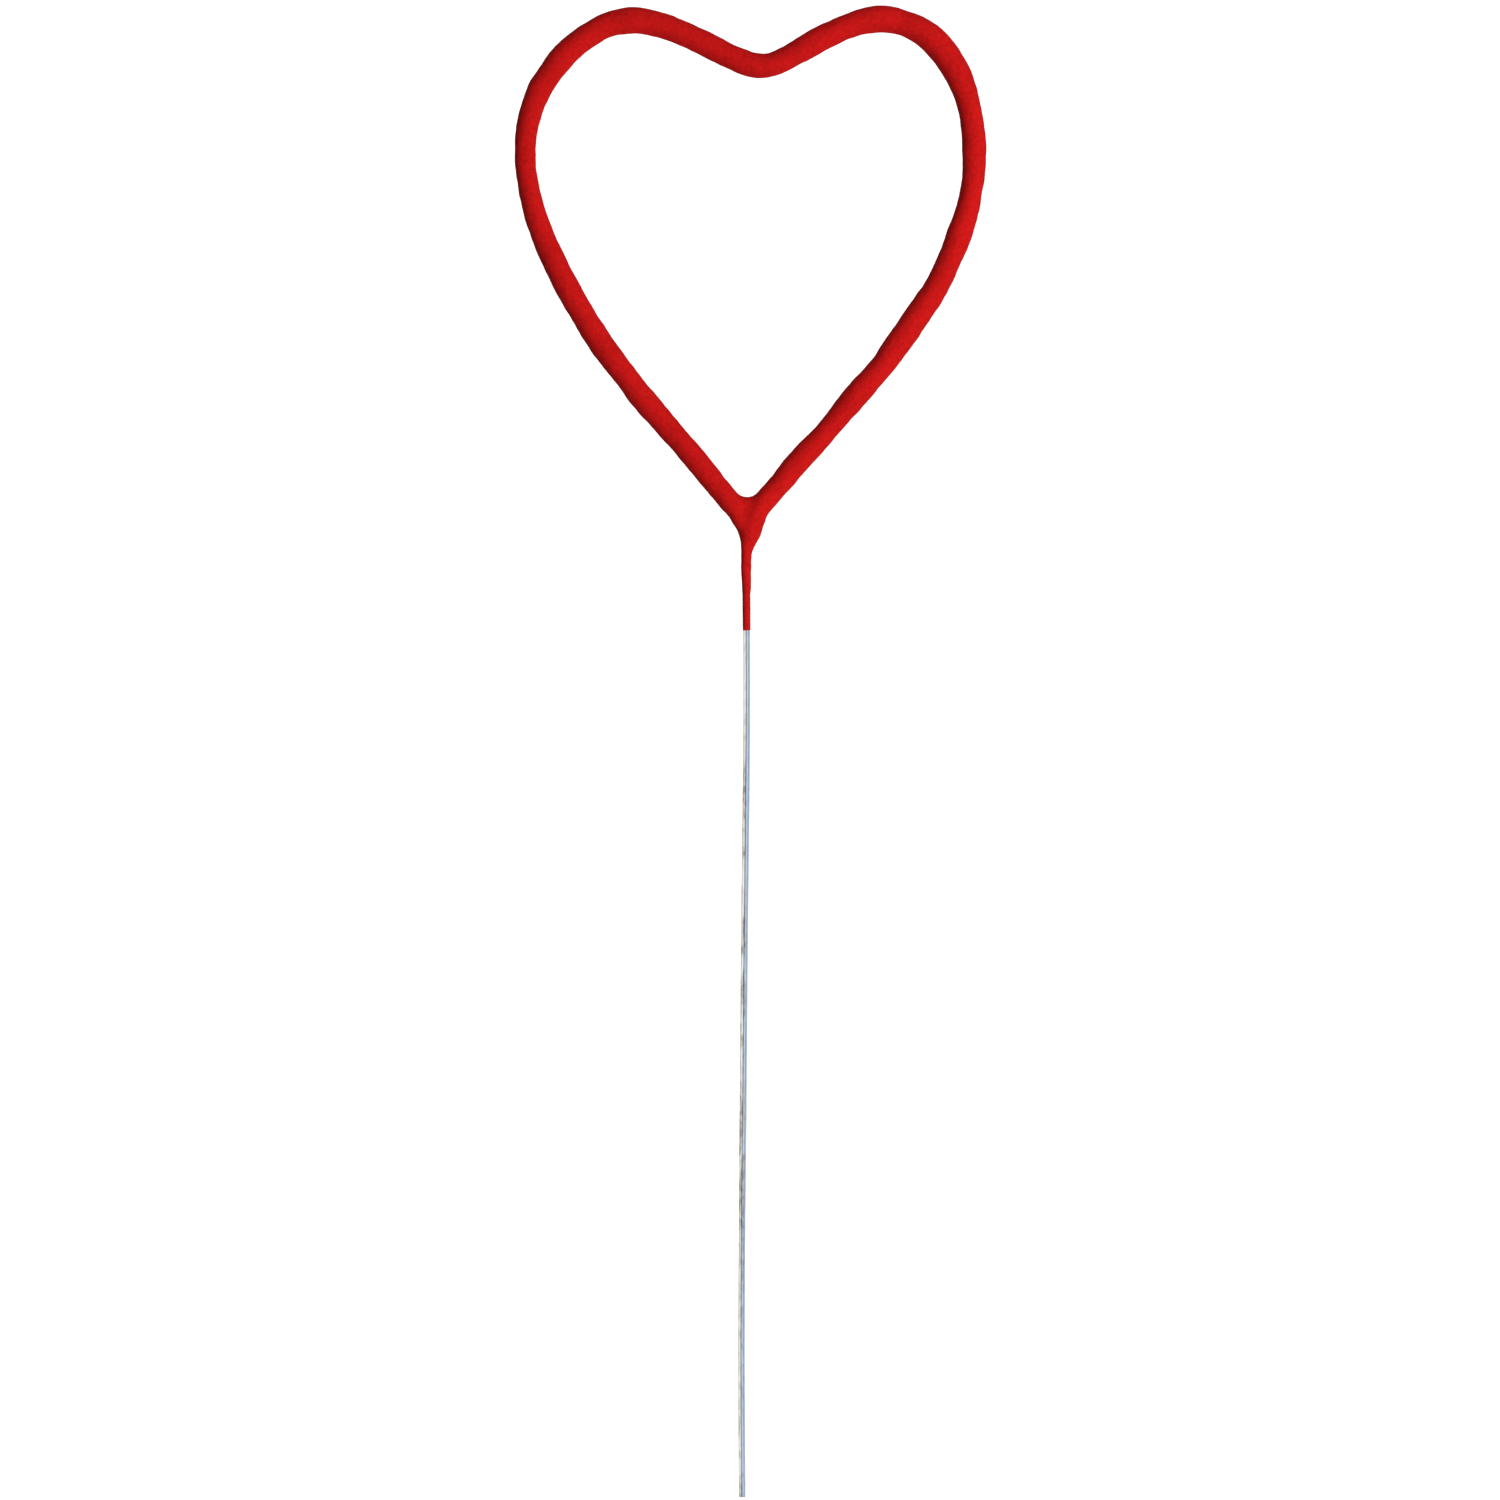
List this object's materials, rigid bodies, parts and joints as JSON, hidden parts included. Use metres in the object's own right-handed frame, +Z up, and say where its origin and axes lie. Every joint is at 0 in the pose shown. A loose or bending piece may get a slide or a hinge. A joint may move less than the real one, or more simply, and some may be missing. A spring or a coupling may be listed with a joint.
{
  "type": "heart sparkler",
  "caption": "Hand-held sparkler: a straight bare steel wire stem bent at the top into a heart, which carries a dipped red burning coat that runs out thinly down the neck.",
  "frame": {"origin": "middle of the stem's cut lower end", "axes": "+Z up along the stem, +X to the right seen from the front, the heart in the XZ plane with its front facing -Y"},
  "size_m": [0.0661, 0.0038, 0.21],
  "materials": {
    "galvanised_wire": "bright drawn galvanised steel",
    "red_coat": "matt, fine-grained and gently lumpy"
  },
  "bodies": {
    "root": {"core_wire": "galvanised_wire", "composition_coat": "red_coat", "neck_film": "red_coat"}
  },
  "joints": []
}
